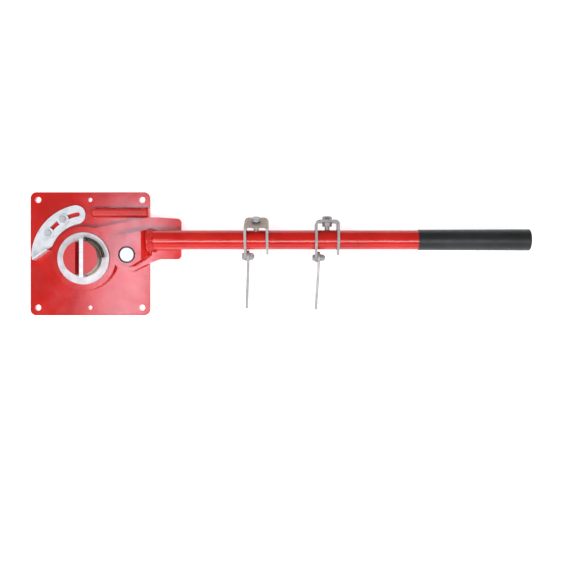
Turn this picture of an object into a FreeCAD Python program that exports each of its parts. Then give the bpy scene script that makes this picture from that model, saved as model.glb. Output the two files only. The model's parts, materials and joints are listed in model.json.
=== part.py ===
import FreeCAD, Part
import math
import os

# Bench-mounted hand bender for reinforcing-bar stirrups. Millimetres, +Z up.
# Origin: the pivot axis where it meets the underside of the base plate.
# At rest the lever points along +X and the bar to be bent would lie along Y.

V = FreeCAD.Vector
X_AXIS, Y_AXIS, Z_AXIS = V(1, 0, 0), V(0, 1, 0), V(0, 0, 1)

# ---- clearances ----
FACE_GAP = 0.3             # between faces of pieces that move past each other
RUNNING_FIT = 0.1          # radial, between a shaft and the bore that turns on it
BOLT_HOLE_FIT = 0.25       # radial, around a fixed bolt

# ---- base plate ----
PLATE_W, PLATE_D, PLATE_T = 250.0, 258.0, 10.0
PLATE_CX, PLATE_CY = 9.0, 10.0
PLATE_CORNER_R, PLATE_CHAMFER = 12.0, 0.8
FIXING_INSET, FIXING_R = 16.0, 6.5
FIXING_W, FIXING_D = PLATE_W - 2 * FIXING_INSET, PLATE_D - 2 * FIXING_INSET
CENTRE_HOLE_R = 4.5

# ---- pivot post, bush and web ----
POST_R = 35.5
SPIGOT_R = 28.0
POST_ABOVE_COVER = 27.0
BUSH_WALL = 3.0
BUSH_R = POST_R + BUSH_WALL
BAR_GAP = 8.4
WEB_T = 8.0
WEB_CENTRE_X = 1.9
WEB_OVERHANG = 4.0
WEB_LIFT = 0.5
POST_CHAMFER = 0.8

# ---- spring pocket, spring cover, lever head and thrust washer, from the bush outwards ----
POCKET_W, POCKET_FLOOR = 10.5, 4.0
POCKET_R = BUSH_R + POCKET_W
COVER_SEAT, COVER_T, COVER_SKIN = 5.0, 5.0, 2.0
COVER_R = POCKET_R + COVER_SEAT
COVER_CHAMFER = 1.0
GROOVE_LIP = 2.0
COVER_GROOVE_R = POCKET_R - GROOVE_LIP
HEAD_RIM, HEAD_T = 12.0, 16.0
HEAD_R = COVER_R + HEAD_RIM
THRUST_INSET, THRUST_T = 6.0, 2.0
THRUST_R = HEAD_R - THRUST_INSET
WINDOW_FROM, WINDOW_TO = 2.0, 88.0
WINDOW_W, WINDOW_BEVEL = 5.5, 6.5
WINDOW_R = BUSH_R + WINDOW_W
PIN_REACH, PIN_OFFSET = 93.5, 7.0
LOBE_R = 34.0
# where the tongue's near edge runs out into the lobe: X and Y from the pin, in lobe radii
RUNOUT_START_X = 1.9
RUNOUT = ((1.25, -0.5), (0.5, -0.86))
TONGUE_END = 202.0
TONGUE_HIGH, TONGUE_LOW = 82.0, -2.0
TONGUE_CORNER_R = 8.0
REST_CORNER_X, REST_CORNER_Y, REST_FACE_L = 134.0, 85.2, 18.0
WAIST_X, WAIST_Y = 20.0, 62.2

# ---- return spring ----
SPRING_WIRE_R = 1.5
SPRING_CLEAR = 1.2
SPRING_COIL_R = BUSH_R + SPRING_CLEAR + SPRING_WIRE_R
SPRING_TURNS = 3.6
SPRING_TOP_ANGLE = 85.0
HOOK_RISE = 4.2
HOOK_REACH = 3.6

# ---- rivet that closes the end of the cover's window ----
RIVET_R, RIVET_HEAD_R, RIVET_HEAD_T, RIVET_ROUND = 2.2, 3.4, 1.8, 0.8
RIVET_REACH, RIVET_ANGLE = BUSH_R + 4.7, -4.5

# ---- bending pin, roller and strap ----
PIN_R, PIN_CHAMFER = 14.8, 1.2
STRAP_HOLE_FIT = 2.6
STRAP_HOLE_R = PIN_R + STRAP_HOLE_FIT
ROLLER_WALL = 6.0
STRAP_GAP, STRAP_T = 17.5, 8.0
STRAP_NOSE_WALL = 7.1
STRAP_NOSE_R = STRAP_HOLE_R + STRAP_NOSE_WALL
STRAP_LEG_T = 8.0
STRAP_BACK_X = 136.0
STRAP_NEAR_Y, STRAP_FAR_Y = 4.5, 58.4
STRAP_SHOULDER_X, STRAP_SHOULDER_Y, STRAP_SHOULDER_FALL = 76.0, 46.0, 5.0
STRAP_BEND_R = 6.0
STRAP_WELD, STRAP_WELD_INSET = 6.0, 2.0

# ---- handle ----
TUBE_R, TUBE_WALL = 20.0, 3.0
TUBE_Y = 37.2
TUBE_END_PLUG = 3.0
TUBE_FROM = STRAP_BACK_X + TUBE_END_PLUG
TUBE_TO = 915.0
TUBE_WELD_L, TUBE_WELD_THROAT, TUBE_WELD_TOE, TUBE_WELD_FOOT = 11.5, 4.0, 0.8, 3.0
SIDE_WELD = 6.0
GRIP_L, GRIP_WALL, GRIP_SWELL, GRIP_END_T = 229.0, 1.0, 1.0, 3.5
GRIP_EDGE_R = 2.5

# ---- rest bar ----
REST_L, REST_W, REST_H = 121.0, 17.5, 20.0
REST_END_R = 8.0
REST_TOP_R = 5.0
REST_GAP = 0.8
REST_WELD = 4.0

# ---- angle gauge ----
GAUGE_T, GAUGE_CLEAR, GAUGE_W = 5.0, 7.7, 39.7
GAUGE_IN_R = HEAD_R + GAUGE_CLEAR
GAUGE_OUT_R = GAUGE_IN_R + GAUGE_W
GAUGE_TIP_ANGLE, GAUGE_BLANK_ANGLE = 90.0, 190.0
GAUGE_SLOT_W = 9.0
SLOT_FROM, SLOT_TO = 99.7, 147.0
GAUGE_BOLT_ANGLES = (119.6, 145.7)
TAB_H, TAB_T = 25.0, 3.6
TAB_RELIEF_L, TAB_RELIEF_W = 5.0, 4.5
GAUGE_CORNER_R = 9.0
TAB_OUTER_R, TAB_OUTER_ANGLE = GAUGE_OUT_R - 8.94, 181.92
TAB_INNER_R, TAB_INNER_ANGLE = GAUGE_IN_R + 2.66, 166.98
M8_R, M8_AF, M8_HEAD_T, M8_NUT_T = 4.0, 13.0, 5.3, 6.5
GAUGE_WASHER_R, GAUGE_WASHER_T = 12.0, 2.0
BOLT_END_UP, BOLT_END_PROUD = 1.0, 2.0

# ---- length stops: centre, turn about the tube, downward droop and sideways bend of the finger ----
STOPS = (("a", 358.5, 24.0, 0.0, 2.0), ("b", 503.5, 0.0, 12.0, 3.4))
LEG_PITCH, STRIP_T, STRIP_MARGIN = 45.0, 5.0, 5.0
STRIP_W = 2 * (TUBE_R + STRIP_MARGIN)
BRIDGE_OUT = TUBE_R + 20.0
STRIP_BEND_R = 9.0
TUBE_HOLE_FIT = 0.5
HINGE_DROP, HINGE_END_R = TUBE_R + 16.5, 9.0
SHORT_LEG_DROP, SHORT_LEG_R = TUBE_R + 12.0, 12.0
LEG_NECK_BACK, LEG_NECK_HALF = 0.3, 0.95    # where each leg meets its round end, in end radii
M10_R, M10_AF, M10_HEAD_T, M10_NUT_T = 5.0, 17.0, 6.4, 8.0
LOCK_HEAD_LIFT = 1.5
FINGER_L, FINGER_W, FINGER_T, FINGER_BEVEL = 107.0, 25.0, 5.0, 7.0
FINGER_STRAIGHT = FINGER_W / 2 + 8.5
HINGE_WASHER_R, HINGE_WASHER_T = 8.0, 1.6
HEX_CHAMFER = 1.0

# ---- levels, worked out from the sizes above ----
HEAD_Z = PLATE_T + THRUST_T + FACE_GAP
HEAD_TOP = HEAD_Z + HEAD_T
COVER_TOP = HEAD_TOP + COVER_T
POST_TOP = COVER_TOP + POST_ABOVE_COVER
WEB_Z = COVER_TOP + WEB_LIFT
SLOT_RIGHT = WEB_CENTRE_X + WEB_T / 2
SLOT_LEFT = SLOT_RIGHT - WEB_T - BAR_GAP
STRAP_Z = HEAD_TOP + STRAP_GAP
STRAP_TOP = STRAP_Z + STRAP_T
TUBE_Z = HEAD_TOP + TUBE_R
PIN_AT = V(PIN_REACH, PIN_OFFSET, 0)


def cylinder(radius, height, at=V(0, 0, 0), axis=Z_AXIS):
    return Part.makeCylinder(radius, height, at, axis)


def ring(inner, outer, height, at=V(0, 0, 0), axis=Z_AXIS):
    return cylinder(outer, height, at, axis).cut(cylinder(inner, height, at, axis))


def box(low, high):
    return Part.makeBox(high.x - low.x, high.y - low.y, high.z - low.z, low)


def polar(radius, degrees, z=0.0):
    angle = math.radians(degrees)
    return V(radius * math.cos(angle), radius * math.sin(angle), z)


def prism(points, z, height):
    """A straight-sided plate over the closed outline through points."""
    corners = [V(p[0], p[1], z) for p in points]
    return Part.Face(Part.makePolygon(corners + corners[:1])).extrude(V(0, 0, height))


def hex_prism(across_flats, height, at, axis):
    """A hexagon from at along axis, its far rim chamfered like a bolt head."""
    radius = across_flats / math.sqrt(3)
    points = [polar(radius, 60 * k) for k in range(7)]
    solid = Part.Face(Part.makePolygon(points)).extrude(V(0, 0, height))
    cone = Part.makeCone(radius - HEX_CHAMFER + height, radius - HEX_CHAMFER, height)
    solid = solid.common(cone)
    solid.Placement = FreeCAD.Placement(at, FreeCAD.Rotation(Z_AXIS, axis))
    return solid


def edges_along_z(shape, test=lambda p: True):
    """The straight vertical edges whose middle passes the test."""
    found = []
    for edge in shape.Edges:
        ends = [v.Point for v in edge.Vertexes]
        if len(ends) != 2 or not isinstance(edge.Curve, Part.Line):
            continue
        span = ends[1] - ends[0]
        if abs(span.x) + abs(span.y) < 1e-6 and test((ends[0] + ends[1]) / 2):
            found.append(edge)
    return found


def edges_at_z(shape, z):
    return [
        e for e in shape.Edges
        if abs(e.BoundBox.ZMin - z) < 1e-6 and abs(e.BoundBox.ZMax - z) < 1e-6
    ]


def save(name, shape):
    solid = shape.removeSplitter()
    solid.exportStep("parts/" + name + ".step")
    print(name, "solids", len(solid.Solids), "valid", solid.isValid(), "mm3", round(solid.Volume))


# ---------------------------------------------------------------- base
def fixing_holes(z, height):
    holes = []
    for sx in (-1, 1):
        for sy in (-1, 1):
            at = V(PLATE_CX + sx * FIXING_W / 2, PLATE_CY + sy * FIXING_D / 2, z)
            holes.append(cylinder(FIXING_R, height, at))
    for sy in (-1, 1):
        at = V(PLATE_CX, PLATE_CY + sy * FIXING_D / 2, z)
        holes.append(cylinder(CENTRE_HOLE_R, height, at))
    return holes


def base_plate():
    low = V(PLATE_CX - PLATE_W / 2, PLATE_CY - PLATE_D / 2, 0)
    plate = box(low, low + V(PLATE_W, PLATE_D, PLATE_T))
    plate = plate.makeFillet(PLATE_CORNER_R, edges_along_z(plate))
    plate = plate.makeChamfer(PLATE_CHAMFER, edges_at_z(plate, PLATE_T))
    plate = plate.cut(fixing_holes(0, PLATE_T))
    plate = plate.cut(cylinder(SPIGOT_R, PLATE_T))
    for angle in GAUGE_BOLT_ANGLES:
        plate = plate.cut(cylinder(M8_R, PLATE_T, polar(gauge_slot_r(), angle)))
    return plate


def pivot_post():
    post = cylinder(POST_R, POST_TOP - PLATE_T, V(0, 0, PLATE_T))
    post = post.makeChamfer(POST_CHAMFER, edges_at_z(post, POST_TOP))
    spigot = cylinder(SPIGOT_R, PLATE_T)
    slot = box(V(SLOT_LEFT, -POST_R, WEB_Z), V(SLOT_RIGHT, POST_R, POST_TOP))
    return post.fuse(spigot).cut(slot)


def slot_web():
    half = POST_R + WEB_OVERHANG
    return box(V(SLOT_RIGHT - WEB_T, -half, WEB_Z), V(SLOT_RIGHT, half, POST_TOP))


def rest_bar_x():
    """The rest bar ends at the edge of the base plate."""
    right = PLATE_CX + PLATE_W / 2
    return right - REST_L, right


def rest_bar():
    left, right = rest_bar_x()
    near = REST_CORNER_Y + REST_GAP
    bar = box(V(left, near, PLATE_T), V(right, near + REST_W, PLATE_T + REST_H))
    bar = bar.makeFillet(REST_END_R, edges_along_z(bar, lambda p: p.x < left + 1))
    return bar.makeFillet(REST_TOP_R, edges_at_z(bar, PLATE_T + REST_H))


def rest_bar_weld():
    left, right = rest_bar_x()
    far = REST_CORNER_Y + REST_GAP + REST_W
    section = Part.makePolygon([
        V(left + REST_END_R, far, PLATE_T),
        V(left + REST_END_R, far + REST_WELD, PLATE_T),
        V(left + REST_END_R, far, PLATE_T + REST_WELD),
        V(left + REST_END_R, far, PLATE_T),
    ])
    return Part.Face(section).extrude(V(right - left - 2 * REST_END_R, 0, 0))


# ---------------------------------------------------------------- angle gauge
def gauge_slot_r():
    return (GAUGE_IN_R + GAUGE_OUT_R) / 2


def arc_slot(inner, outer, start, end, z, height):
    """A ring sector with both ends rounded, from angle start to angle end at their centres."""
    middle, half = (inner + outer) / 2, (outer - inner) / 2
    turned = ring(inner, outer, height, V(0, 0, z))
    reach = 3 * outer
    steps = max(2, int((end - start) / 60) + 2)
    angles = [start + (end - start) * k / (steps - 1) for k in range(steps)]
    fan = [(0, 0)] + [(polar(reach, a).x, polar(reach, a).y) for a in angles]
    sector = turned.common(prism(fan, z, height))
    ends = [cylinder(half, height, polar(middle, a, z)) for a in (start, end)]
    return sector.multiFuse(ends)


def angle_gauge():
    z = PLATE_T + FACE_GAP
    half = (GAUGE_OUT_R - GAUGE_IN_R) / 2
    tip = GAUGE_TIP_ANGLE + math.degrees(half / gauge_slot_r())
    plate = arc_slot(GAUGE_IN_R, GAUGE_OUT_R, tip, GAUGE_BLANK_ANGLE, z, GAUGE_T)
    outer = polar(TAB_OUTER_R, TAB_OUTER_ANGLE, z)
    inner = polar(TAB_INNER_R, TAB_INNER_ANGLE, z)
    along = (inner - outer).normalize()
    across = V(along.y, -along.x, 0)
    beyond = 2 * GAUGE_OUT_R
    cut_line = [outer - along * beyond, outer + along * beyond]
    cutter = [cut_line[0], cut_line[1], cut_line[1] + across * beyond, cut_line[0] + across * beyond]
    plate = plate.cut(prism([(p.x, p.y) for p in cutter], z, GAUGE_T)).removeSplitter()
    plate = plate.makeFillet(GAUGE_CORNER_R, edges_along_z(
        plate, lambda p: math.hypot(p.x, p.y) > GAUGE_OUT_R - 1 and p.y < GAUGE_IN_R / 2))
    for end, inwards in ((outer, along), (inner, -along)):
        relief = [end - inwards * GAUGE_W, end + inwards * TAB_RELIEF_L]
        sides = relief + [p - across * TAB_RELIEF_W for p in reversed(relief)]
        plate = plate.cut(prism([(p.x, p.y) for p in sides], z, GAUGE_T))
    tab = [outer, inner, inner - across * TAB_T, outer - across * TAB_T]
    plate = plate.fuse(prism([(p.x, p.y) for p in tab], z, TAB_H))
    slot_in, slot_out = gauge_slot_r() - GAUGE_SLOT_W / 2, gauge_slot_r() + GAUGE_SLOT_W / 2
    return plate.cut(arc_slot(slot_in, slot_out, SLOT_FROM, SLOT_TO, z, GAUGE_T))


def gauge_washers():
    z = PLATE_T + GAUGE_T + 2 * FACE_GAP
    return Part.makeCompound([
        ring(M8_R + BOLT_HOLE_FIT, GAUGE_WASHER_R, GAUGE_WASHER_T, polar(gauge_slot_r(), a, z))
        for a in GAUGE_BOLT_ANGLES
    ])


def gauge_bolts():
    z = PLATE_T + GAUGE_T + 2 * FACE_GAP + GAUGE_WASHER_T
    bolts = []
    for angle in GAUGE_BOLT_ANGLES:
        head = hex_prism(M8_AF, M8_HEAD_T, polar(gauge_slot_r(), angle, z), Z_AXIS)
        shank = cylinder(M8_R, z - BOLT_END_UP, polar(gauge_slot_r(), angle, BOLT_END_UP))
        bolts.append(head.fuse(shank))
    return Part.makeCompound(bolts)


# ---------------------------------------------------------------- lever head
def lever_head():
    lobe = cylinder(LOBE_R, HEAD_T, PIN_AT + V(0, 0, HEAD_Z))
    tongue = prism([
        (WAIST_X, WAIST_Y),
        (REST_CORNER_X, REST_CORNER_Y),
        (REST_CORNER_X + REST_FACE_L, REST_CORNER_Y),
        (TONGUE_END, TONGUE_HIGH),
        (TONGUE_END, TONGUE_LOW),
        (PIN_REACH + RUNOUT_START_X * LOBE_R, TONGUE_LOW),
        *[(PIN_REACH + x * LOBE_R, PIN_OFFSET + y * LOBE_R) for x, y in RUNOUT],
        (0, 0),
    ], HEAD_Z, HEAD_T)
    tongue = tongue.makeFillet(
        TONGUE_CORNER_R, edges_along_z(tongue, lambda p: p.x > TONGUE_END - 1))
    head = cylinder(HEAD_R, HEAD_T, V(0, 0, HEAD_Z)).multiFuse([lobe, tongue]).removeSplitter()
    head = head.cut(cylinder(BUSH_R + RUNNING_FIT, HEAD_T, V(0, 0, HEAD_Z)))
    head = head.cut(cylinder(POCKET_R, HEAD_T, V(0, 0, HEAD_Z + POCKET_FLOOR)))
    return head.cut(cylinder(PIN_R, HEAD_T, PIN_AT + V(0, 0, HEAD_Z)))


def window():
    """What the cover lacks above the spring: a sector whose outer wall slopes like a dish."""
    angles = [WINDOW_FROM, (WINDOW_FROM + WINDOW_TO) / 2, WINDOW_TO]
    fan = [(0, 0)] + [(polar(3 * COVER_R, a).x, polar(3 * COVER_R, a).y) for a in angles]
    dish_z = COVER_TOP - COVER_SKIN
    hole = cylinder(WINDOW_R, COVER_T, V(0, 0, HEAD_TOP))
    dish = Part.makeCone(WINDOW_R, WINDOW_R + WINDOW_BEVEL, COVER_SKIN, V(0, 0, dish_z))
    return hole.fuse(dish).common(prism(fan, HEAD_TOP, COVER_T))


def spring_cover():
    cover = ring(BUSH_R + RUNNING_FIT, COVER_R, COVER_T, V(0, 0, HEAD_TOP))
    cover = cover.makeChamfer(COVER_CHAMFER, [
        e for e in edges_at_z(cover, COVER_TOP) if e.BoundBox.XMax > COVER_R - 1
    ])
    groove = cylinder(COVER_GROOVE_R, COVER_T - COVER_SKIN, V(0, 0, HEAD_TOP))
    cover = cover.cut(groove).cut(window())
    return cover.cut(cylinder(RIVET_R, COVER_T, polar(RIVET_REACH, RIVET_ANGLE, HEAD_TOP)))


def cover_rivet():
    shank = cylinder(RIVET_R, COVER_SKIN, polar(RIVET_REACH, RIVET_ANGLE, COVER_TOP - COVER_SKIN))
    head = cylinder(RIVET_HEAD_R, RIVET_HEAD_T, polar(RIVET_REACH, RIVET_ANGLE, COVER_TOP))
    head = head.makeFillet(RIVET_ROUND, edges_at_z(head, COVER_TOP + RIVET_HEAD_T))
    return shank.fuse(head)


def spring_floor():
    return HEAD_Z + POCKET_FLOOR + SPRING_WIRE_R + FACE_GAP


def return_spring():
    pitch = 2 * SPRING_WIRE_R + FACE_GAP
    height = pitch * SPRING_TURNS
    start = SPRING_TOP_ANGLE - 360 * SPRING_TURNS
    helix = Part.makeHelix(pitch, height, SPRING_COIL_R)
    tangent = V(0, SPRING_COIL_R, pitch / (2 * math.pi)).normalize()
    circle = Part.makeCircle(SPRING_WIRE_R, V(SPRING_COIL_R, 0, 0), tangent)
    coil = Part.Wire(helix).makePipeShell([Part.Wire(circle)], True, True)
    coil.rotate(V(0, 0, 0), Z_AXIS, start)
    coil.translate(V(0, 0, spring_floor()))
    foot = polar(SPRING_COIL_R, start, spring_floor())
    inward = polar(-1, start)
    tang_l = SPRING_COIL_R - POST_R - FACE_GAP
    tang = cylinder(SPRING_WIRE_R, tang_l, foot, inward)
    top = polar(SPRING_COIL_R, SPRING_TOP_ANGLE, spring_floor() + height)
    riser = cylinder(SPRING_WIRE_R, HOOK_RISE, top)
    elbow = top + V(0, 0, HOOK_RISE)
    hook = cylinder(SPRING_WIRE_R, HOOK_REACH, elbow, polar(1, SPRING_TOP_ANGLE))
    knuckles = [Part.makeSphere(SPRING_WIRE_R, p) for p in (foot, top, elbow)]
    return coil.multiFuse([tang, riser, hook] + knuckles)


def bearing_bush():
    bush = ring(POST_R, BUSH_R, COVER_TOP - PLATE_T, V(0, 0, PLATE_T))
    start = SPRING_TOP_ANGLE - 360 * SPRING_TURNS
    hole_at = polar(POST_R, start, spring_floor())
    return bush.cut(cylinder(SPRING_WIRE_R + BOLT_HOLE_FIT, 3 * BUSH_WALL, hole_at, polar(1, start)))


def thrust_washer():
    return ring(BUSH_R + BOLT_HOLE_FIT, THRUST_R, THRUST_T, V(0, 0, PLATE_T))


# ---------------------------------------------------------------- pin, roller and strap
def back_edge(block):
    """The edge along Y where a block's top meets its back face."""
    edge_x, edge_z = block.BoundBox.XMax, block.BoundBox.ZMax
    return [
        e for e in block.Edges
        if abs(e.BoundBox.XMin - edge_x) < 1e-6 and abs(e.BoundBox.ZMin - edge_z) < 1e-6
    ]


def pin_strap():
    """A plate over the pin whose back end is bent down onto the lever head."""
    left, near = PIN_REACH - STRAP_NOSE_R, PIN_OFFSET - STRAP_NOSE_R
    outside = box(V(left, near, HEAD_TOP), V(STRAP_BACK_X, STRAP_FAR_Y, STRAP_TOP))
    outside = outside.makeFillet(STRAP_BEND_R + STRAP_LEG_T, back_edge(outside))
    inside = box(V(left, near, HEAD_TOP), V(STRAP_BACK_X - STRAP_LEG_T, STRAP_FAR_Y, STRAP_Z))
    inside = inside.makeFillet(STRAP_BEND_R, back_edge(inside))
    outline = prism([
        (left, PIN_OFFSET),
        (left, STRAP_SHOULDER_Y - STRAP_SHOULDER_FALL),
        (STRAP_SHOULDER_X, STRAP_SHOULDER_Y),
        (STRAP_BACK_X, STRAP_FAR_Y),
        (STRAP_BACK_X, STRAP_NEAR_Y),
        (PIN_REACH + 0.6 * STRAP_NOSE_R, PIN_OFFSET - 0.8 * STRAP_NOSE_R),
        (PIN_REACH, PIN_OFFSET),
    ], HEAD_TOP, STRAP_TOP - HEAD_TOP)
    nose = cylinder(STRAP_NOSE_R, STRAP_TOP - HEAD_TOP, PIN_AT + V(0, 0, HEAD_TOP))
    strap = outside.cut(inside).common(outline.fuse(nose))
    return strap.cut(cylinder(STRAP_HOLE_R, STRAP_T, PIN_AT + V(0, 0, STRAP_Z)))


def strap_weld():
    """Fillet bead where the strap's leg stands on the lever head, on its pin side."""
    x = STRAP_BACK_X - STRAP_LEG_T
    section = Part.makePolygon([
        V(x, STRAP_NEAR_Y, HEAD_TOP),
        V(x - STRAP_WELD, STRAP_NEAR_Y, HEAD_TOP),
        V(x, STRAP_NEAR_Y, HEAD_TOP + STRAP_WELD),
        V(x, STRAP_NEAR_Y, HEAD_TOP),
    ])
    return Part.Face(section).extrude(V(0, STRAP_FAR_Y - STRAP_WELD_INSET - STRAP_NEAR_Y, 0))


def bending_pin():
    pin = cylinder(PIN_R, STRAP_TOP - HEAD_Z, PIN_AT + V(0, 0, HEAD_Z))
    return pin.makeChamfer(PIN_CHAMFER, edges_at_z(pin, STRAP_TOP))


def bending_roller():
    inner = PIN_R + RUNNING_FIT
    at = PIN_AT + V(0, 0, HEAD_TOP + FACE_GAP)
    return ring(inner, PIN_R + ROLLER_WALL, STRAP_GAP - 2 * FACE_GAP, at)


# ---------------------------------------------------------------- handle
def tube_point(x):
    return V(x, TUBE_Y, TUBE_Z)


def handle_tube():
    return ring(TUBE_R - TUBE_WALL, TUBE_R, TUBE_TO - TUBE_FROM, tube_point(TUBE_FROM), X_AXIS)


def tube_end_weld():
    """The build-up of weld that joins the strap's leg to the tube and closes the tube's end."""
    start = tube_point(STRAP_BACK_X)
    length = TUBE_WELD_L
    bead = Part.makeCone(TUBE_R + TUBE_WELD_THROAT, TUBE_R + TUBE_WELD_TOE, length, start, X_AXIS)
    bead = bead.cut(cylinder(TUBE_R, length, tube_point(TUBE_FROM), X_AXIS))
    low, high = V(-1, -2 * TUBE_R, -2 * TUBE_R), V(length + 1, 2 * TUBE_R, TUBE_WELD_FOOT - TUBE_R)
    floor = box(start + low, start + high)
    return bead.cut(floor)


def tube_side_welds():
    """One bead on each side where the tube lies on the tongue of the lever head."""
    from_x, to_x = STRAP_BACK_X + TUBE_WELD_L + FACE_GAP, TONGUE_END - TONGUE_CORNER_R
    beads = []
    for side in (-1, 1):
        reach = side * (TUBE_R / 2 + SIDE_WELD)
        section = Part.makePolygon([
            V(from_x, TUBE_Y + side * SIDE_WELD, HEAD_TOP),
            V(from_x, TUBE_Y + reach, HEAD_TOP),
            V(from_x, TUBE_Y + reach - side, HEAD_TOP + SIDE_WELD),
            V(from_x, TUBE_Y + side * SIDE_WELD, HEAD_TOP),
        ])
        bead = Part.Face(section).extrude(V(to_x - from_x, 0, 0))
        beads.append(bead.cut(cylinder(TUBE_R, to_x - from_x, tube_point(from_x), X_AXIS)))
    return Part.makeCompound(beads)


def handle_grip():
    """A slightly swelling rubber sleeve, closed over the end of the tube."""
    end = TUBE_TO + GRIP_END_T
    start = end - GRIP_L
    thin, thick = TUBE_R + GRIP_WALL, TUBE_R + GRIP_WALL + GRIP_SWELL
    sleeve = Part.makeCone(thin, thick, GRIP_L, tube_point(start), X_AXIS)
    sleeve = sleeve.makeFillet(GRIP_EDGE_R, [e for e in sleeve.Edges if e.BoundBox.XMin > end - 1])
    return sleeve.cut(cylinder(TUBE_R, TUBE_TO - start, tube_point(start), X_AXIS))


# ---------------------------------------------------------------- length stops
def turn_about_tube(shape, degrees):
    shape = shape.copy()
    shape.rotate(tube_point(0), X_AXIS, degrees)
    return shape


def stop_bracket(centre):
    """A strip bent to a U around the tube, its left leg longer for the finger."""
    left, right = centre - (LEG_PITCH + STRIP_T) / 2, centre + (LEG_PITCH + STRIP_T) / 2
    low_z, top_y = TUBE_Z - STRIP_W / 2, TUBE_Y + BRIDGE_OUT
    long_y, short_y = TUBE_Y - HINGE_DROP, TUBE_Y - SHORT_LEG_DROP
    block = box(V(left, short_y - HINGE_DROP, low_z), V(right, top_y, low_z + STRIP_W))
    block = block.makeFillet(STRIP_BEND_R, edges_along_z(block, lambda p: p.y > top_y - 1))
    core = box(
        V(left + STRIP_T, short_y - 2 * HINGE_DROP, low_z),
        V(right - STRIP_T, top_y - STRIP_T, low_z + STRIP_W))
    inner_r = STRIP_BEND_R - STRIP_T
    core = core.makeFillet(inner_r, edges_along_z(core, lambda p: p.y > top_y - STRIP_T - 1))
    bracket = block.cut(core)

    def leg_outline(x, end_y, end_r):
        """Full strip width around the tube, narrowing to a round end."""
        wide = box(V(x, TUBE_Y - TUBE_R / 4, low_z), V(x + STRIP_T, top_y, low_z + STRIP_W))
        end = cylinder(end_r, STRIP_T, V(x, end_y, TUBE_Z), X_AXIS)
        throat = Part.Face(Part.makePolygon([
            V(x, TUBE_Y - TUBE_R / 4, low_z),
            V(x, end_y - LEG_NECK_BACK * end_r, TUBE_Z - LEG_NECK_HALF * end_r),
            V(x, end_y - LEG_NECK_BACK * end_r, TUBE_Z + LEG_NECK_HALF * end_r),
            V(x, TUBE_Y - TUBE_R / 4, low_z + STRIP_W),
            V(x, TUBE_Y - TUBE_R / 4, low_z),
        ])).extrude(V(STRIP_T, 0, 0))
        return wide.multiFuse([end, throat])

    bridge = box(
        V(left + STRIP_T, top_y - 2 * STRIP_T, low_z),
        V(right - STRIP_T, top_y, low_z + STRIP_W))
    outline = leg_outline(left, long_y, HINGE_END_R).multiFuse([
        leg_outline(right - STRIP_T, short_y + SHORT_LEG_R, SHORT_LEG_R), bridge])
    bracket = bracket.common(outline).removeSplitter()
    bore = cylinder(TUBE_R + TUBE_HOLE_FIT, right - left, tube_point(left), X_AXIS)
    bracket = bracket.cut(bore)
    bracket = bracket.cut(cylinder(M8_R + BOLT_HOLE_FIT, STRIP_T, V(left, long_y, TUBE_Z), X_AXIS))
    screw_hole = cylinder(M10_R + BOLT_HOLE_FIT, 2 * STRIP_T, V(centre, top_y, TUBE_Z), -Y_AXIS)
    return bracket.cut(screw_hole)


def stop_nut(centre):
    """The nut welded inside the bridge, which the lock screw runs in."""
    at = V(centre, TUBE_Y + BRIDGE_OUT - STRIP_T, TUBE_Z)
    nut = hex_prism(M10_AF, M10_NUT_T, at, -Y_AXIS)
    return nut.cut(cylinder(M10_R + RUNNING_FIT, M10_NUT_T, at, -Y_AXIS))


def stop_lock_screw(centre):
    tip_y = TUBE_Y + TUBE_R + FACE_GAP
    head_y = TUBE_Y + BRIDGE_OUT + LOCK_HEAD_LIFT
    shank = cylinder(M10_R, head_y - tip_y, V(centre, tip_y, TUBE_Z), Y_AXIS)
    return shank.fuse(hex_prism(M10_AF, M10_HEAD_T, V(centre, head_y, TUBE_Z), Y_AXIS))


def hinge_x(centre):
    """Where the long leg's outer face stands, and the faces stacked inside it."""
    leg = centre - (LEG_PITCH + STRIP_T) / 2
    finger = leg + STRIP_T + FACE_GAP
    washer = finger + FINGER_T + FACE_GAP
    return leg, finger, washer, washer + HINGE_WASHER_T


def stop_hinge_bolt(centre):
    leg, _, _, nut = hinge_x(centre)
    y = TUBE_Y - HINGE_DROP
    length = nut + M8_NUT_T + BOLT_END_PROUD - leg
    head = hex_prism(M8_AF, M8_HEAD_T, V(leg, y, TUBE_Z), -X_AXIS)
    return head.fuse(cylinder(M8_R, length, V(leg, y, TUBE_Z), X_AXIS))


def stop_hinge_washer(centre):
    washer = hinge_x(centre)[2]
    at = V(washer, TUBE_Y - HINGE_DROP, TUBE_Z)
    return ring(M8_R + BOLT_HOLE_FIT, HINGE_WASHER_R, HINGE_WASHER_T, at, X_AXIS)


def stop_hinge_nut(centre):
    at = V(hinge_x(centre)[3], TUBE_Y - HINGE_DROP, TUBE_Z)
    nut = hex_prism(M8_AF, M8_NUT_T, at, X_AXIS)
    return nut.cut(cylinder(M8_R, M8_NUT_T, at, X_AXIS))


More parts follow.
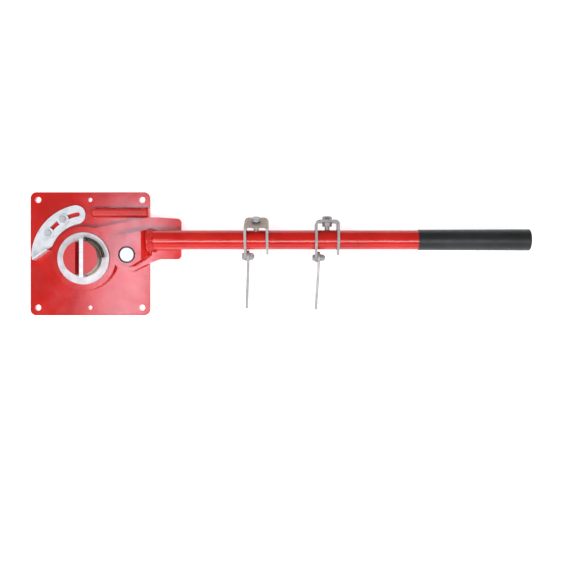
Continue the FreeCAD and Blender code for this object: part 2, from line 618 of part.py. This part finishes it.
def stop_finger(centre, turn, droop, bend):
    """A flat bar on the hinge bolt, bent slightly sideways, which droops once the stop is turned."""
    x, y = hinge_x(centre)[1], TUBE_Y - HINGE_DROP
    half = FINGER_W / 2
    tip_y, bend_y = y - FINGER_L, y - FINGER_STRAIGHT
    blade = Part.Face(Part.makePolygon([
        V(x, bend_y, TUBE_Z - half),
        V(x, tip_y + FINGER_BEVEL, TUBE_Z - half),
        V(x, tip_y, TUBE_Z - half + FINGER_BEVEL),
        V(x, tip_y, TUBE_Z + half),
        V(x, bend_y, TUBE_Z + half),
        V(x, bend_y, TUBE_Z - half),
    ])).extrude(V(FINGER_T, 0, 0))
    blade.rotate(V(x + FINGER_T, bend_y, TUBE_Z), Z_AXIS, -bend)
    root = box(V(x, bend_y, TUBE_Z - half), V(x + FINGER_T, y, TUBE_Z + half))
    root = root.fuse(cylinder(half, FINGER_T, V(x, y, TUBE_Z), X_AXIS))
    bar = root.fuse(blade).removeSplitter()
    bar = bar.cut(cylinder(M8_R + RUNNING_FIT, FINGER_T, V(x, y, TUBE_Z), X_AXIS))
    bar.rotate(V(x, y, TUBE_Z), X_AXIS, droop - turn)
    return bar


def length_stops():
    pieces = {
        "bracket": stop_bracket,
        "screw_nut": stop_nut,
        "lock_screw": stop_lock_screw,
        "hinge_bolt": stop_hinge_bolt,
        "hinge_washer": stop_hinge_washer,
        "hinge_nut": stop_hinge_nut,
    }
    for letter, centre, turn, droop, bend in STOPS:
        for name, make in pieces.items():
            save("stop_" + letter + "_" + name, turn_about_tube(make(centre), turn))
        finger = stop_finger(centre, turn, droop, bend)
        save("stop_" + letter + "_finger", turn_about_tube(finger, turn))


os.makedirs("parts", exist_ok=True)
save("base_plate", base_plate())
save("pivot_post", pivot_post())
save("slot_web", slot_web())
save("bearing_bush", bearing_bush())
save("thrust_washer", thrust_washer())
save("rest_bar", rest_bar())
save("rest_bar_weld", rest_bar_weld())
save("angle_gauge", angle_gauge())
save("gauge_washers", gauge_washers())
save("gauge_bolts", gauge_bolts())
save("lever_head", lever_head())
save("spring_cover", spring_cover())
save("cover_rivet", cover_rivet())
save("return_spring", return_spring())
save("pin_strap", pin_strap())
save("strap_weld", strap_weld())
save("bending_pin", bending_pin())
save("bending_roller", bending_roller())
save("handle_tube", handle_tube())
save("tube_end_weld", tube_end_weld())
save("tube_side_welds", tube_side_welds())
save("handle_grip", handle_grip())
length_stops()
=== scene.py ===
import json
import math
import random

import bpy
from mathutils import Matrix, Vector


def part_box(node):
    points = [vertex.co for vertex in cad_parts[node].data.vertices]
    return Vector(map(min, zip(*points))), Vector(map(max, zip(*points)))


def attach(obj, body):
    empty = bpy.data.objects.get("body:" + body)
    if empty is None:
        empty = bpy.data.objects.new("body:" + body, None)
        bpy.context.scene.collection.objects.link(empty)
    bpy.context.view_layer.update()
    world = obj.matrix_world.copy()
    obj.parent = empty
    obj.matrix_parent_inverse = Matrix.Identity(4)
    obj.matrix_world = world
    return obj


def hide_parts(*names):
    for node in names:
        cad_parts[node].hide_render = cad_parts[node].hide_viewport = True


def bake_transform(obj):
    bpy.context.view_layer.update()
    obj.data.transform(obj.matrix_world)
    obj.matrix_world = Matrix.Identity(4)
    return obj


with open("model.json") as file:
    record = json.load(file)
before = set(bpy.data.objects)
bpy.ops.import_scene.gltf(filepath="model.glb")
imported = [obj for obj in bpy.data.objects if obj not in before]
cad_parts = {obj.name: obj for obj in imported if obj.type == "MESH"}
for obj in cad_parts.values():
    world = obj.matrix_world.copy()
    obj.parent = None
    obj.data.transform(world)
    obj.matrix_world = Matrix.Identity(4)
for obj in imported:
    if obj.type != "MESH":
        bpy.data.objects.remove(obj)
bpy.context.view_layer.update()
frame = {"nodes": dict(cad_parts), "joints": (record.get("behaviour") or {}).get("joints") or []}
nodes = frame["nodes"]

# ---- places read from the frame, in metres ----
PLATE_HIGH = Vector(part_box("base_plate")[1])
POST_LOW, POST_HIGH = (Vector(v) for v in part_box("pivot_post"))
HEAD_HIGH = Vector(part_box("lever_head")[1])
STRAP_LOW, STRAP_HIGH = (Vector(v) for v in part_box("pin_strap"))
REST_LOW, REST_HIGH = (Vector(v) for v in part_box("rest_bar"))
TUBE_LOW, TUBE_HIGH = (Vector(v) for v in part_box("handle_tube"))
TUBE_R = (TUBE_HIGH.z - TUBE_LOW.z) / 2
TUBE_Y, TUBE_Z = (TUBE_LOW.y + TUBE_HIGH.y) / 2, (TUBE_LOW.z + TUBE_HIGH.z) / 2
POST_R = (POST_HIGH.x - POST_LOW.x) / 2

# ---- return spring, as it is wound in the CAD ----
SPRING_WIRE_R = 0.0015
SPRING_TURNS, SPRING_TOP_ANGLE = 3.6, 85.0
SPRING_RISE, SPRING_HOOK = 0.0042, 0.0036
SPRING_FOOT_GAP, SPRING_BEND = 0.0003, 0.0016
SPRING_STEPS_PER_TURN = 60

# ---- weld beads: a lumpy round section swept along a path ----
BEAD_SIDES = 14
BEAD_CORE, BEAD_LUMP, BEAD_TIP = 0.87, 0.13, 0.35
BEAD_SIZE_JITTER, BEAD_FACE_JITTER = 0.02, 0.012
REST_BEAD_R, REST_BEAD_RIPPLE = 0.0034, 0.0065
REST_BEAD_RISE, REST_BEAD_INSET = 0.0014, 0.0002
REST_BEAD_FRONT_GAP, REST_BEAD_BACK_GAP = 0.006, 0.004
END_BEAD_R, END_BEAD_RIPPLE = 0.0040, 0.0062
END_BEAD_FOOT_RISE, END_BEAD_FOOT_GAP = 0.0010, 0.012
END_BEAD_OUTER_GAPS = (0.022, 0.002)
# rings round the tube's end: distance behind the strap, height over the tube, first and last angle, seed
END_RINGS = (
    (0.0014, -0.0004, -52, 232, 3),
    (0.0050, 0.0002, -50, 230, 5),
    (0.0086, 0.0, -46, 226, 8),
)
SIDE_BEAD_R, SIDE_BEAD_RIPPLE = 0.0036, 0.0040
SIDE_BEAD_RISE, SIDE_BEAD_REACH = 0.0022, 0.0128
SIDE_BEAD_FRONT_GAP, SIDE_BEAD_BACK_GAP = 0.012, 0.009
STRAP_BEAD_R, STRAP_BEAD_RIPPLE = 0.0036, 0.0042
STRAP_BEAD_BACK, STRAP_BEAD_RISE, STRAP_BEAD_INSET = 0.001, 0.0016, 0.002
WANDER, FINE_WANDER = 0.0003, 0.00012
FIRST_BEAD_SEED = 11

# ---- screw threads ----
THREAD_STEPS_PER_TURN = 20
LOCK_THREAD_R, LOCK_THREAD_PITCH = 0.00515, 0.0015
LOCK_THREAD_FROM, LOCK_THREAD_TO = TUBE_R + 0.0006, TUBE_R + 0.021
HINGE_THREAD_R, HINGE_THREAD_PITCH = 0.00412, 0.00125
HINGE_THREAD_PROUD = 0.0018

# ---- bevels on the edges of plates ----
EDGE_WIDTHS = {
    "base_plate": 0.0006, "lever_head": 0.0008, "pin_strap": 0.0008, "rest_bar": 0.0006,
    "angle_gauge": 0.0005, "slot_web": 0.0005, "spring_cover": 0.0003,
    "stop_a_bracket": 0.0007, "stop_b_bracket": 0.0007,
    "stop_a_finger": 0.0006, "stop_b_finger": 0.0006,
}
EDGE_SEGMENTS, EDGE_ANGLE = 2, 50

# ---- where the post's paint stops, inside its rim ----
POST_PAINT_INSET, POST_WEAR = 0.0006, 0.0003

# ---- camera and light ----
CAMERA_HEIGHT = 1.81
VIEW_CENTRE = (0.4152, -0.0532)
FRAME_WIDTH_AT_PLATE = 1.19
SENSOR_WIDTH = 36.0
KEY_COLOUR = (1.0, 0.985, 0.97)
FILL_COLOUR = (0.78, 0.84, 1.0)
# each lamp: name, place, the point it faces, its two sides, watts, colour
LAMPS = (
    ("key", (0.3, -0.58, 1.65), (0.3, 0.0, 0.0), (2.3, 0.4), 21.0, KEY_COLOUR),
    ("fill", (-0.17, 0.02, 1.5), (0.1, -0.03, 0.0), (0.5, 0.22), 3.3, FILL_COLOUR),
    ("side", (1.0, -2.2, 1.0), (0.4, 0.0, 0.0), (3.2, 1.2), 16.0, FILL_COLOUR),
)
WORLD_STRENGTH = 0.24
FLOOR_REACH, FLOOR_DROP, FLOOR_GLOW = 30.0, 0.0005, 0.72

# ---- colours, linear; groups run from dark to bright ----
RED_DEEP, RED, RED_LIGHT = (0.58, 0.007, 0.004), (0.7, 0.011, 0.006), (0.76, 0.02, 0.012)
ZINC = ((0.42, 0.42, 0.445), (0.54, 0.55, 0.58), (0.63, 0.64, 0.67))
GAUGE_ZINC = ((0.6, 0.62, 0.64), (0.78, 0.8, 0.82), (0.85, 0.86, 0.88))
COVER_ZINC = ((0.56, 0.53, 0.55), (0.74, 0.7, 0.72), (0.82, 0.8, 0.81))
STOP_ZINC = ((0.32, 0.315, 0.305), (0.42, 0.415, 0.405), (0.54, 0.535, 0.53))
# painted reflection: a brown tint on the stop bracket's bridge beyond the tube, for the dim brown its
# zinc mirrors; tint, inset, blend width, share
PAINTED_REFLECTION_TINT, PAINTED_REFLECTION_INSET, PAINTED_REFLECTION_BLEND, PAINTED_REFLECTION_SHARE = (0.25, 0.19, 0.14), 0.002, 0.004, 0.8
STEEL = ((0.45, 0.44, 0.42), (0.68, 0.7, 0.72))
PIN_STEEL = ((0.46, 0.5, 0.53), (0.6, 0.66, 0.7))
# the roller's steel is near black: painted shade, so that the gap round the pin, where the roller's top
# shows, reads dark
ROLLER_STEEL_PAINTED_SHADE = ((0.03, 0.03, 0.03), (0.09, 0.085, 0.08))
BRONZE = ((0.12, 0.09, 0.06), (0.3, 0.23, 0.15))
SPRING_STEEL = ((0.08, 0.09, 0.07), (0.2, 0.22, 0.19))
RUBBER = ((0.013, 0.014, 0.0145), (0.026, 0.028, 0.03))
FLOOR_TONES = ((0.9, 0.9, 0.9), (0.93, 0.93, 0.93))

# ---- sockets of Blender's colour mix node ----
MIX_A, MIX_B, MIX_RESULT = 6, 7, 2


# ---------------------------------------------------------------- materials
class Shader:
    """A Principled material with short helpers for procedural inputs."""

    def __init__(self, name):
        self.material = bpy.data.materials.new(name)
        self.material.use_nodes = True
        self.tree = self.material.node_tree
        self.surface = self.tree.nodes["Principled BSDF"]
        self.coords = self.tree.nodes.new("ShaderNodeTexCoord").outputs["Object"]

    def node(self, kind, **settings):
        made = self.tree.nodes.new(kind)
        for key, value in settings.items():
            setattr(made, key, value)
        return made

    def link(self, source, target):
        self.tree.links.new(source, target)

    def set(self, **values):
        for key, value in values.items():
            self.surface.inputs[key.replace("_", " ")].default_value = value

    def noise(self, scale, detail=3.0, stretch=None):
        made = self.node("ShaderNodeTexNoise")
        made.inputs["Scale"].default_value = scale
        made.inputs["Detail"].default_value = detail
        source = self.coords
        if stretch:
            mapping = self.node("ShaderNodeMapping")
            mapping.inputs["Scale"].default_value = stretch
            self.link(source, mapping.inputs["Vector"])
            source = mapping.outputs["Vector"]
        self.link(source, made.inputs["Vector"])
        return made.outputs[0]

    def ramp(self, source, stops):
        made = self.node("ShaderNodeValToRGB")
        elements = made.color_ramp.elements
        while len(elements) < len(stops):
            elements.new(0.5)
        for element, (place, colour) in zip(elements, stops):
            element.position = place
            element.color = (*colour, 1.0)
        self.link(source, made.inputs[0])
        return made.outputs[0]

    def spread(self, source, low, high, out_low, out_high):
        made = self.node("ShaderNodeMapRange")
        made.inputs["From Min"].default_value = low
        made.inputs["From Max"].default_value = high
        made.inputs["To Min"].default_value = out_low
        made.inputs["To Max"].default_value = out_high
        self.link(source, made.inputs["Value"])
        return made.outputs[0]

    def mix(self, factor, a, b):
        made = self.node("ShaderNodeMix", data_type="RGBA")
        self.link(factor, made.inputs[0])
        for value, place in ((a, MIX_A), (b, MIX_B)):
            if isinstance(value, tuple):
                made.inputs[place].default_value = (*value, 1.0)
            else:
                self.link(value, made.inputs[place])
        return made.outputs[MIX_RESULT]

    def bump(self, source, strength, distance, under=None):
        made = self.node("ShaderNodeBump")
        made.inputs["Strength"].default_value = strength
        made.inputs["Distance"].default_value = distance
        self.link(source, made.inputs["Height"])
        if under:
            self.link(under, made.inputs["Normal"])
        return made.outputs[0]

    def colour(self, source):
        self.link(source, self.surface.inputs["Base Color"])

    def roughness(self, source):
        self.link(source, self.surface.inputs["Roughness"])

    def normal(self, source):
        self.link(source, self.surface.inputs["Normal"])


def paint_colour(s):
    """Enamel that is a little deeper and lighter in soft patches."""
    return s.ramp(s.noise(14.0, 4.0), ((0.3, RED_DEEP), (0.5, RED), (0.72, RED_LIGHT)))


def red_paint(name="red_paint", roughness=(0.13, 0.21), lumps=0.06):
    """Red enamel; lumps sets how strongly its surface rolls."""
    s = Shader(name)
    s.set(Specular_IOR_Level=0.55)
    s.colour(paint_colour(s))
    s.roughness(s.spread(s.noise(40.0, 5.0), 0.3, 0.7, *roughness))
    peel = s.bump(s.noise(420.0, 2.0), lumps, 0.0004)
    s.normal(s.bump(s.noise(45.0, 3.0), lumps, 0.002, peel))
    return s.material


def zinc(name, tones, roughness=(0.4, 0.55), metallic=0.4, painted_reflection_beyond_y=None):
    """Zinc plating with a soft spangle; beyond a Y it can carry a brown tint, a painted reflection of the
    dim brown that the zinc mirrors there.
    """
    low, high, bright = tones
    s = Shader(name)
    s.set(Metallic=metallic)
    plating = s.ramp(s.noise(60.0, 5.0), ((0.25, low), (0.5, high), (0.8, bright)))
    if painted_reflection_beyond_y is not None:
        split = s.node("ShaderNodeSeparateXYZ")
        s.link(s.coords, split.inputs[0])
        beyond = s.spread(split.outputs[1], painted_reflection_beyond_y, painted_reflection_beyond_y + PAINTED_REFLECTION_BLEND, 0.0, PAINTED_REFLECTION_SHARE)
        plating = s.mix(beyond, plating, PAINTED_REFLECTION_TINT)
    s.colour(plating)
    s.roughness(s.spread(s.noise(130.0, 4.0), 0.3, 0.7, *roughness))
    s.normal(s.bump(s.noise(260.0, 4.0), 0.1, 0.0006))
    return s.material


def brushed(name, stretch, tones):
    """Bare metal with fine lines, drawn out by the stretch along X, Y and Z."""
    low, high = tones
    s = Shader(name)
    s.set(Metallic=0.5)
    lines = s.noise(30.0, 6.0, stretch)
    s.colour(s.ramp(lines, ((0.25, low), (0.6, high))))
    s.roughness(s.spread(lines, 0.2, 0.8, 0.26, 0.42))
    s.normal(s.bump(lines, 0.12, 0.0004))
    return s.material


def painted_post():
    """Red on the top faces and in the slot, bare turned steel round the side."""
    s = Shader("painted_post")
    split = s.node("ShaderNodeSeparateXYZ")
    s.link(s.coords, split.inputs[0])
    flat = s.node("ShaderNodeCombineXYZ")
    s.link(split.outputs[0], flat.inputs[0])
    s.link(split.outputs[1], flat.inputs[1])
    length = s.node("ShaderNodeVectorMath", operation="LENGTH")
    s.link(flat.outputs[0], length.inputs[0])
    worn = s.spread(s.noise(220.0, 3.0), 0.3, 0.7, -POST_WEAR, POST_WEAR)
    edge = s.node("ShaderNodeMath", operation="ADD")
    s.link(length.outputs["Value"], edge.inputs[0])
    s.link(worn, edge.inputs[1])
    bare = s.spread(edge.outputs[0], POST_R - POST_PAINT_INSET, POST_R - POST_WEAR, 0.0, 1.0)
    s.colour(s.mix(bare, paint_colour(s), STEEL[0]))
    s.link(bare, s.surface.inputs["Metallic"])
    s.roughness(s.spread(bare, 0.0, 1.0, 0.26, 0.3))
    s.normal(s.bump(s.noise(300.0, 3.0), 0.08, 0.0005))
    return s.material


def rubber():
    s = Shader("black_rubber")
    s.set(Specular_IOR_Level=0.42)
    s.colour(s.ramp(s.noise(24.0, 4.0), ((0.3, RUBBER[0]), (0.7, RUBBER[1]))))
    s.roughness(s.spread(s.noise(70.0, 4.0), 0.3, 0.7, 0.36, 0.5))
    s.normal(s.bump(s.noise(900.0, 2.0), 0.12, 0.0004))
    return s.material


def floor_material():
    s = Shader("studio_floor")
    s.set(Roughness=0.9, Emission_Strength=FLOOR_GLOW, Emission_Color=(1, 1, 1, 1))
    s.colour(s.ramp(s.noise(3.0), ((0.3, FLOOR_TONES[0]), (0.7, FLOOR_TONES[1]))))
    return s.material


def assign(names, material):
    for name in names:
        mesh = nodes[name].data
        mesh.materials.clear()
        mesh.materials.append(material)


def dress_nodes():
    """Gives each CAD node its material, and returns the stops' zinc for their threads."""
    assign(("base_plate", "lever_head", "pin_strap", "handle_tube"), red_paint())
    assign(("angle_gauge", "gauge_washers"), zinc("gauge_zinc", GAUGE_ZINC))
    assign(("gauge_bolts",), zinc("zinc", ZINC))
    assign(("spring_cover", "cover_rivet"), zinc("cover_zinc", COVER_ZINC, (0.42, 0.55), 0.3))
    assign(("slot_web",), brushed("web_steel", (1.0, 12.0, 12.0), STEEL))
    assign(("bending_pin",), brushed("pin_steel", (1.0, 1.0, 14.0), PIN_STEEL))
    # near-black roller: painted shade in the gap round the bending pin
    assign(("bending_roller",), brushed("roller_steel_painted_shade", (2.0, 2.0, 20.0), ROLLER_STEEL_PAINTED_SHADE))
    assign(("bearing_bush", "thrust_washer"), brushed("bearing_bronze", (4.0, 4.0, 20.0), BRONZE))
    assign(("pivot_post",), painted_post())
    assign(("handle_grip",), rubber())
    plated = zinc("stop_zinc", STOP_ZINC)
    assign([name for name in nodes if name.startswith("stop_")], plated)
    # the bracket's bridge, beyond the tube's top, gets a painted reflection: a brown tint over its zinc
    reflection_tinted = zinc("bracket_zinc_painted_reflection", STOP_ZINC, painted_reflection_beyond_y=TUBE_Y + TUBE_R - PAINTED_REFLECTION_INSET)
    assign(("stop_a_bracket",), reflection_tinted)
    return plated


# ---------------------------------------------------------------- detail pieces
def new_piece(name, vertices, faces, material, body):
    mesh = bpy.data.meshes.new(name)
    mesh.from_pydata([tuple(v) for v in vertices], [], faces)
    mesh.validate()
    mesh.shade_smooth()
    piece = bpy.data.objects.new(name, mesh)
    bpy.context.scene.collection.objects.link(piece)
    mesh.materials.append(material)
    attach(piece, body)
    return piece


def bead_mesh(path, radius, ripple, seed):
    """A weld bead: overlapping lumps along a path of points, closed at both ends."""
    dice = random.Random(seed)
    vertices, faces = [], []
    travelled = 0.0
    for k, point in enumerate(path):
        ahead = path[min(k + 1, len(path) - 1)] - path[max(k - 1, 0)]
        along = ahead.normalized()
        side = along.cross(Vector((0, 0, 1)))
        side = side.normalized() if side.length > 1e-6 else Vector((0, 1, 0))
        up = side.cross(along)
        if k:
            travelled += (point - path[k - 1]).length
        phase = (travelled / ripple) % 1.0
        lump = math.sqrt(max(0.0, 1 - (2 * phase - 1) ** 2))
        jitter = dice.uniform(-BEAD_SIZE_JITTER, BEAD_SIZE_JITTER)
        size = radius * (BEAD_CORE + BEAD_LUMP * lump + jitter)
        if k in (0, len(path) - 1):
            size *= BEAD_TIP
        for j in range(BEAD_SIDES):
            turn = 2 * math.pi * j / BEAD_SIDES
            reach = size * (1 + dice.uniform(-BEAD_FACE_JITTER, BEAD_FACE_JITTER))
            vertices.append(point + side * reach * math.cos(turn) + up * reach * math.sin(turn))
    for k in range(len(path) - 1):
        for j in range(BEAD_SIDES):
            a = k * BEAD_SIDES + j
            b = k * BEAD_SIDES + (j + 1) % BEAD_SIDES
            faces.append((a, b, b + BEAD_SIDES, a + BEAD_SIDES))
    last = (len(path) - 1) * BEAD_SIDES
    faces.append(tuple(range(BEAD_SIDES - 1, -1, -1)))
    faces.append(tuple(last + j for j in range(BEAD_SIDES)))
    return vertices, faces


def straight(start, end, step=0.0009, wander=0.0, seed=1):
    """Points from start to end that drift a little off the line."""
    dice = random.Random(seed)
    start, end = Vector(start), Vector(end)
    count = max(2, int((end - start).length / step))
    drift = Vector((0, 0, 0))
    points = []
    for k in range(count + 1):
        drift = drift * 0.85 + Vector([dice.uniform(-wander, wander) for _ in range(3)])
        points.append(start.lerp(end, k / count) + drift)
    return points


def around_tube(x, radius, start_deg, end_deg, step_deg=2.0, wander=0.0, seed=1):
    """Points round the tube's axis at x, angles from +Y towards +Z."""
    dice = random.Random(seed)
    count = int(abs(end_deg - start_deg) / step_deg)
    points = []
    for k in range(count + 1):
        turn = math.radians(start_deg + (end_deg - start_deg) * k / count)
        reach = radius + dice.uniform(-wander, wander)
        points.append(Vector((
            x + dice.uniform(-wander, wander),
            TUBE_Y + reach * math.cos(turn),
            TUBE_Z + reach * math.sin(turn))))
    return points


def weld_piece(name, paths, radius, ripple, material, body, *cad_nodes):
    """One piece made of a bead along each path; it may replace CAD nodes."""
    vertices, faces = [], []
    for k, path in enumerate(paths):
        more_vertices, more_faces = bead_mesh(path, radius, ripple, FIRST_BEAD_SEED + k)
        base = len(vertices)
        vertices += more_vertices
        faces += [tuple(base + i for i in face) for face in more_faces]
    piece = new_piece(name, vertices, faces, material, body)
    if cad_nodes:
        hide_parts(*cad_nodes)
    return piece


def rest_weld(paint):
    y, z = REST_HIGH.y - REST_BEAD_INSET, PLATE_HIGH.z + REST_BEAD_RISE
    back = straight(
        (REST_LOW.x + REST_BEAD_FRONT_GAP, y, z),
        (REST_HIGH.x - REST_BEAD_BACK_GAP, y, z), wander=WANDER)
    weld_piece("rest_weld", [back], REST_BEAD_R, REST_BEAD_RIPPLE, paint, "base", "rest_bar_weld")


def tube_end_bead(paint):
    """Rings round the tube's end, and a foot bead along the strap on each side of it."""
    paths = [
        around_tube(STRAP_HIGH.x + behind, TUBE_R + over, first, last, wander=WANDER, seed=seed)
        for behind, over, first, last, seed in END_RINGS
    ]
    foot_x, foot_z = STRAP_HIGH.x + END_RINGS[0][0], HEAD_HIGH.z + END_BEAD_FOOT_RISE
    near_gap, far_gap = END_BEAD_OUTER_GAPS
    for start_y, end_y, seed in (
            (STRAP_LOW.y + near_gap, TUBE_Y - END_BEAD_FOOT_GAP, 31),
            (TUBE_Y + END_BEAD_FOOT_GAP, STRAP_HIGH.y - far_gap, 33)):
        paths.append(straight(
            (foot_x, start_y, foot_z), (foot_x, end_y, foot_z), wander=WANDER, seed=seed))
    weld_piece("tube_end_bead", paths, END_BEAD_R, END_BEAD_RIPPLE, paint, "lever")


def tube_side_beads(paint):
    """A bead on each side of the tube, where it lies on the lever head."""
    start_x, end_x = STRAP_HIGH.x + SIDE_BEAD_FRONT_GAP, HEAD_HIGH.x - SIDE_BEAD_BACK_GAP
    z = HEAD_HIGH.z + SIDE_BEAD_RISE
    paths = [
        straight(
            (start_x, TUBE_Y + side * SIDE_BEAD_REACH, z),
            (end_x, TUBE_Y + side * SIDE_BEAD_REACH, z), wander=FINE_WANDER, seed=7 + side)
        for side in (-1, 1)
    ]
    weld_piece("tube_side_beads", paths, SIDE_BEAD_R, SIDE_BEAD_RIPPLE, paint, "lever", "tube_side_welds")


def strap_bead(paint):
    """The bead across the foot of the strap's leg."""
    low, high = (Vector(v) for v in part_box("strap_weld"))
    x, z = high.x - STRAP_BEAD_BACK, low.z + STRAP_BEAD_RISE
    front = straight(
        (x, low.y + STRAP_BEAD_INSET, z), (x, high.y - STRAP_BEAD_INSET, z),
        wander=FINE_WANDER, seed=21)
    weld_piece("strap_bead", [front], STRAP_BEAD_R, STRAP_BEAD_RIPPLE, paint, "lever", "strap_weld")


def welds():
    lumpy = red_paint("weld_paint", (0.22, 0.4), 0.3)
    rest_weld(lumpy)
    tube_end_bead(lumpy)
    assign(("tube_end_weld", "rest_bar"), lumpy)
    tube_side_beads(lumpy)
    strap_bead(lumpy)


def round_corner(before, corner, after, reach=0.002, steps=6):
    """A short smooth bend at corner, on the way from before to after."""
    a = corner + (before - corner).normalized() * reach
    b = corner + (after - corner).normalized() * reach
    shares = [k / steps for k in range(steps + 1)]
    return [a.lerp(corner, t).lerp(corner.lerp(b, t), t) for t in shares]


def spring_path():
    """The return spring's centre line: foot in the bush, coil, riser, then the hook in the cover."""
    low, high = (Vector(v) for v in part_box("return_spring"))
    coil_r, floor_z = -low.x - SPRING_WIRE_R, low.z + SPRING_WIRE_R
    hook_z = high.z - SPRING_WIRE_R
    top_z = hook_z - SPRING_RISE
    top_turn = math.radians(SPRING_TOP_ANGLE)

    def at(turn, reach, z):
        return Vector((reach * math.cos(turn), reach * math.sin(turn), z))

    steps = int(SPRING_TURNS * SPRING_STEPS_PER_TURN)
    coil = []
    for k in range(steps + 1):
        turn = top_turn - 2 * math.pi * SPRING_TURNS * (1 - k / steps)
        coil.append(at(turn, coil_r, floor_z + (top_z - floor_z) * k / steps))
    foot_turn = top_turn - 2 * math.pi * SPRING_TURNS
    foot_end = at(foot_turn, POST_R + SPRING_FOOT_GAP, floor_z)
    elbow = at(top_turn, coil_r, hook_z)
    hook_end = at(top_turn, coil_r + SPRING_HOOK, hook_z)
    path = [foot_end] + round_corner(foot_end, coil[0], coil[3])
    path += coil[3:-3]
    path += round_corner(coil[-4], coil[-1], elbow, SPRING_BEND)
    path += round_corner(coil[-1], elbow, hook_end, SPRING_BEND) + [hook_end]
    return path, floor_z, top_z


def return_spring():
    """A round wire coiled between base and lever; it is built once in its wound shape and attached to
    neither body.
    """
    path, floor_z, top_z = spring_path()
    curve = bpy.data.curves.new("return_coil_path", "CURVE")
    curve.dimensions = "3D"
    curve.bevel_depth, curve.bevel_resolution = SPRING_WIRE_R, 3
    curve.use_fill_caps = True
    spline = curve.splines.new("POLY")
    spline.points.add(len(path) - 1)
    for point, place in zip(spline.points, path):
        point.co = (*place, 1.0)
    route = bpy.data.objects.new("return_coil_path", curve)
    mesh = bpy.data.meshes.new_from_object(route)
    bpy.data.objects.remove(route)
    mesh.shade_smooth()
    coil = bpy.data.objects.new("return_coil", mesh)
    bpy.context.scene.collection.objects.link(coil)
    mesh.materials.clear()
    mesh.materials.append(brushed("spring_wire", (8.0, 8.0, 8.0), SPRING_STEEL))
    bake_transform(coil)
    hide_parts("return_spring")


def thread_ring(name, start, end, radius, pitch, material, body):
    """The crest of a screw thread: a thin ridge wound round a shank."""
    start, end = Vector(start), Vector(end)
    axis = (end - start).normalized()
    side = axis.orthogonal().normalized()
    up = axis.cross(side)
    turns = (end - start).length / pitch
    steps = max(8, int(turns * THREAD_STEPS_PER_TURN))
    half, depth = pitch * 0.42, pitch * 0.35
    vertices, faces = [], []
    for k in range(steps + 1):
        turn = 2 * math.pi * turns * k / steps
        outward = side * math.cos(turn) + up * math.sin(turn)
        middle = start.lerp(end, k / steps)
        vertices += [
            middle + outward * (radius - depth) - axis * half,
            middle + outward * radius,
            middle + outward * (radius - depth) + axis * half,
        ]
    for k in range(steps):
        a = 3 * k
        faces += [(a, a + 3, a + 4, a + 1), (a + 1, a + 4, a + 5, a + 2), (a + 2, a + 5, a + 3, a)]
    faces += [(0, 1, 2), (3 * steps + 2, 3 * steps + 1, 3 * steps)]
    return new_piece(name, vertices, faces, material, body)


def screw_threads(plated):
    """Threads on each stop's lock screw and on the end of its hinge bolt."""
    joints = {j["name"]: j for j in frame["joints"]}
    for letter in "ab":
        stop = "stop_" + letter
        axis = Vector(joints[stop + "_screw_travel"]["axis"])
        low, high = (Vector(v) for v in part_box(stop + "_lock_screw"))
        middle = Vector(((low.x + high.x) / 2, TUBE_Y, TUBE_Z))
        thread_ring(
            stop + "_screw_thread", middle + axis * LOCK_THREAD_FROM, middle + axis * LOCK_THREAD_TO,
            LOCK_THREAD_R, LOCK_THREAD_PITCH, plated, stop + "_screw")
        hinge = Vector(joints[stop + "_finger_swing"]["pos_m"])
        nut_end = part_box(stop + "_hinge_nut")[1][0]
        thread_ring(
            stop + "_hinge_thread", (nut_end, hinge.y, hinge.z),
            (nut_end + HINGE_THREAD_PROUD, hinge.y, hinge.z),
            HINGE_THREAD_R, HINGE_THREAD_PITCH, plated, stop)


def soften_edges():
    """A small bevel on the painted and plated plates, so that their edges catch the light."""
    for name, width in EDGE_WIDTHS.items():
        bevel = nodes[name].modifiers.new("edge", "BEVEL")
        bevel.width = width
        bevel.segments = EDGE_SEGMENTS
        bevel.limit_method = "ANGLE"
        bevel.angle_limit = math.radians(EDGE_ANGLE)


# ---------------------------------------------------------------- stage
def floor():
    mesh = bpy.data.meshes.new("floor")
    signs = ((-1, -1), (1, -1), (1, 1), (-1, 1))
    corners = [(x * FLOOR_REACH, y * FLOOR_REACH, -FLOOR_DROP) for x, y in signs]
    mesh.from_pydata(corners, [], [(0, 1, 2, 3)])
    plane = bpy.data.objects.new("floor", mesh)
    bpy.context.scene.collection.objects.link(plane)
    mesh.materials.append(floor_material())


def area_light(name, at, target, size, power, colour):
    data = bpy.data.lights.new(name, "AREA")
    data.shape = "RECTANGLE"
    data.size, data.size_y = size
    data.energy = power
    data.color = colour
    lamp = bpy.data.objects.new(name, data)
    lamp.location = at
    lamp.rotation_euler = (Vector(target) - Vector(at)).to_track_quat("-Z", "Y").to_euler()
    bpy.context.scene.collection.objects.link(lamp)


def light():
    for lamp in LAMPS:
        area_light(*lamp)
    world = bpy.data.worlds.new("studio")
    world.use_nodes = True
    background = world.node_tree.nodes["Background"]
    background.inputs["Color"].default_value = (1, 1, 1, 1)
    background.inputs["Strength"].default_value = WORLD_STRENGTH
    bpy.context.scene.world = world


def camera():
    data = bpy.data.cameras.new("camera")
    data.sensor_width = SENSOR_WIDTH
    data.lens = SENSOR_WIDTH * (CAMERA_HEIGHT - PLATE_HIGH.z) / FRAME_WIDTH_AT_PLATE
    data.clip_end = 20.0
    eye = bpy.data.objects.new("camera", data)
    eye.location = (VIEW_CENTRE[0], VIEW_CENTRE[1], CAMERA_HEIGHT)
    bpy.context.scene.collection.objects.link(eye)
    bpy.context.scene.camera = eye
    bpy.context.scene.view_settings.view_transform = "Standard"


stop_zinc = dress_nodes()
soften_edges()
welds()
screw_threads(stop_zinc)
return_spring()
floor()
light()
camera()
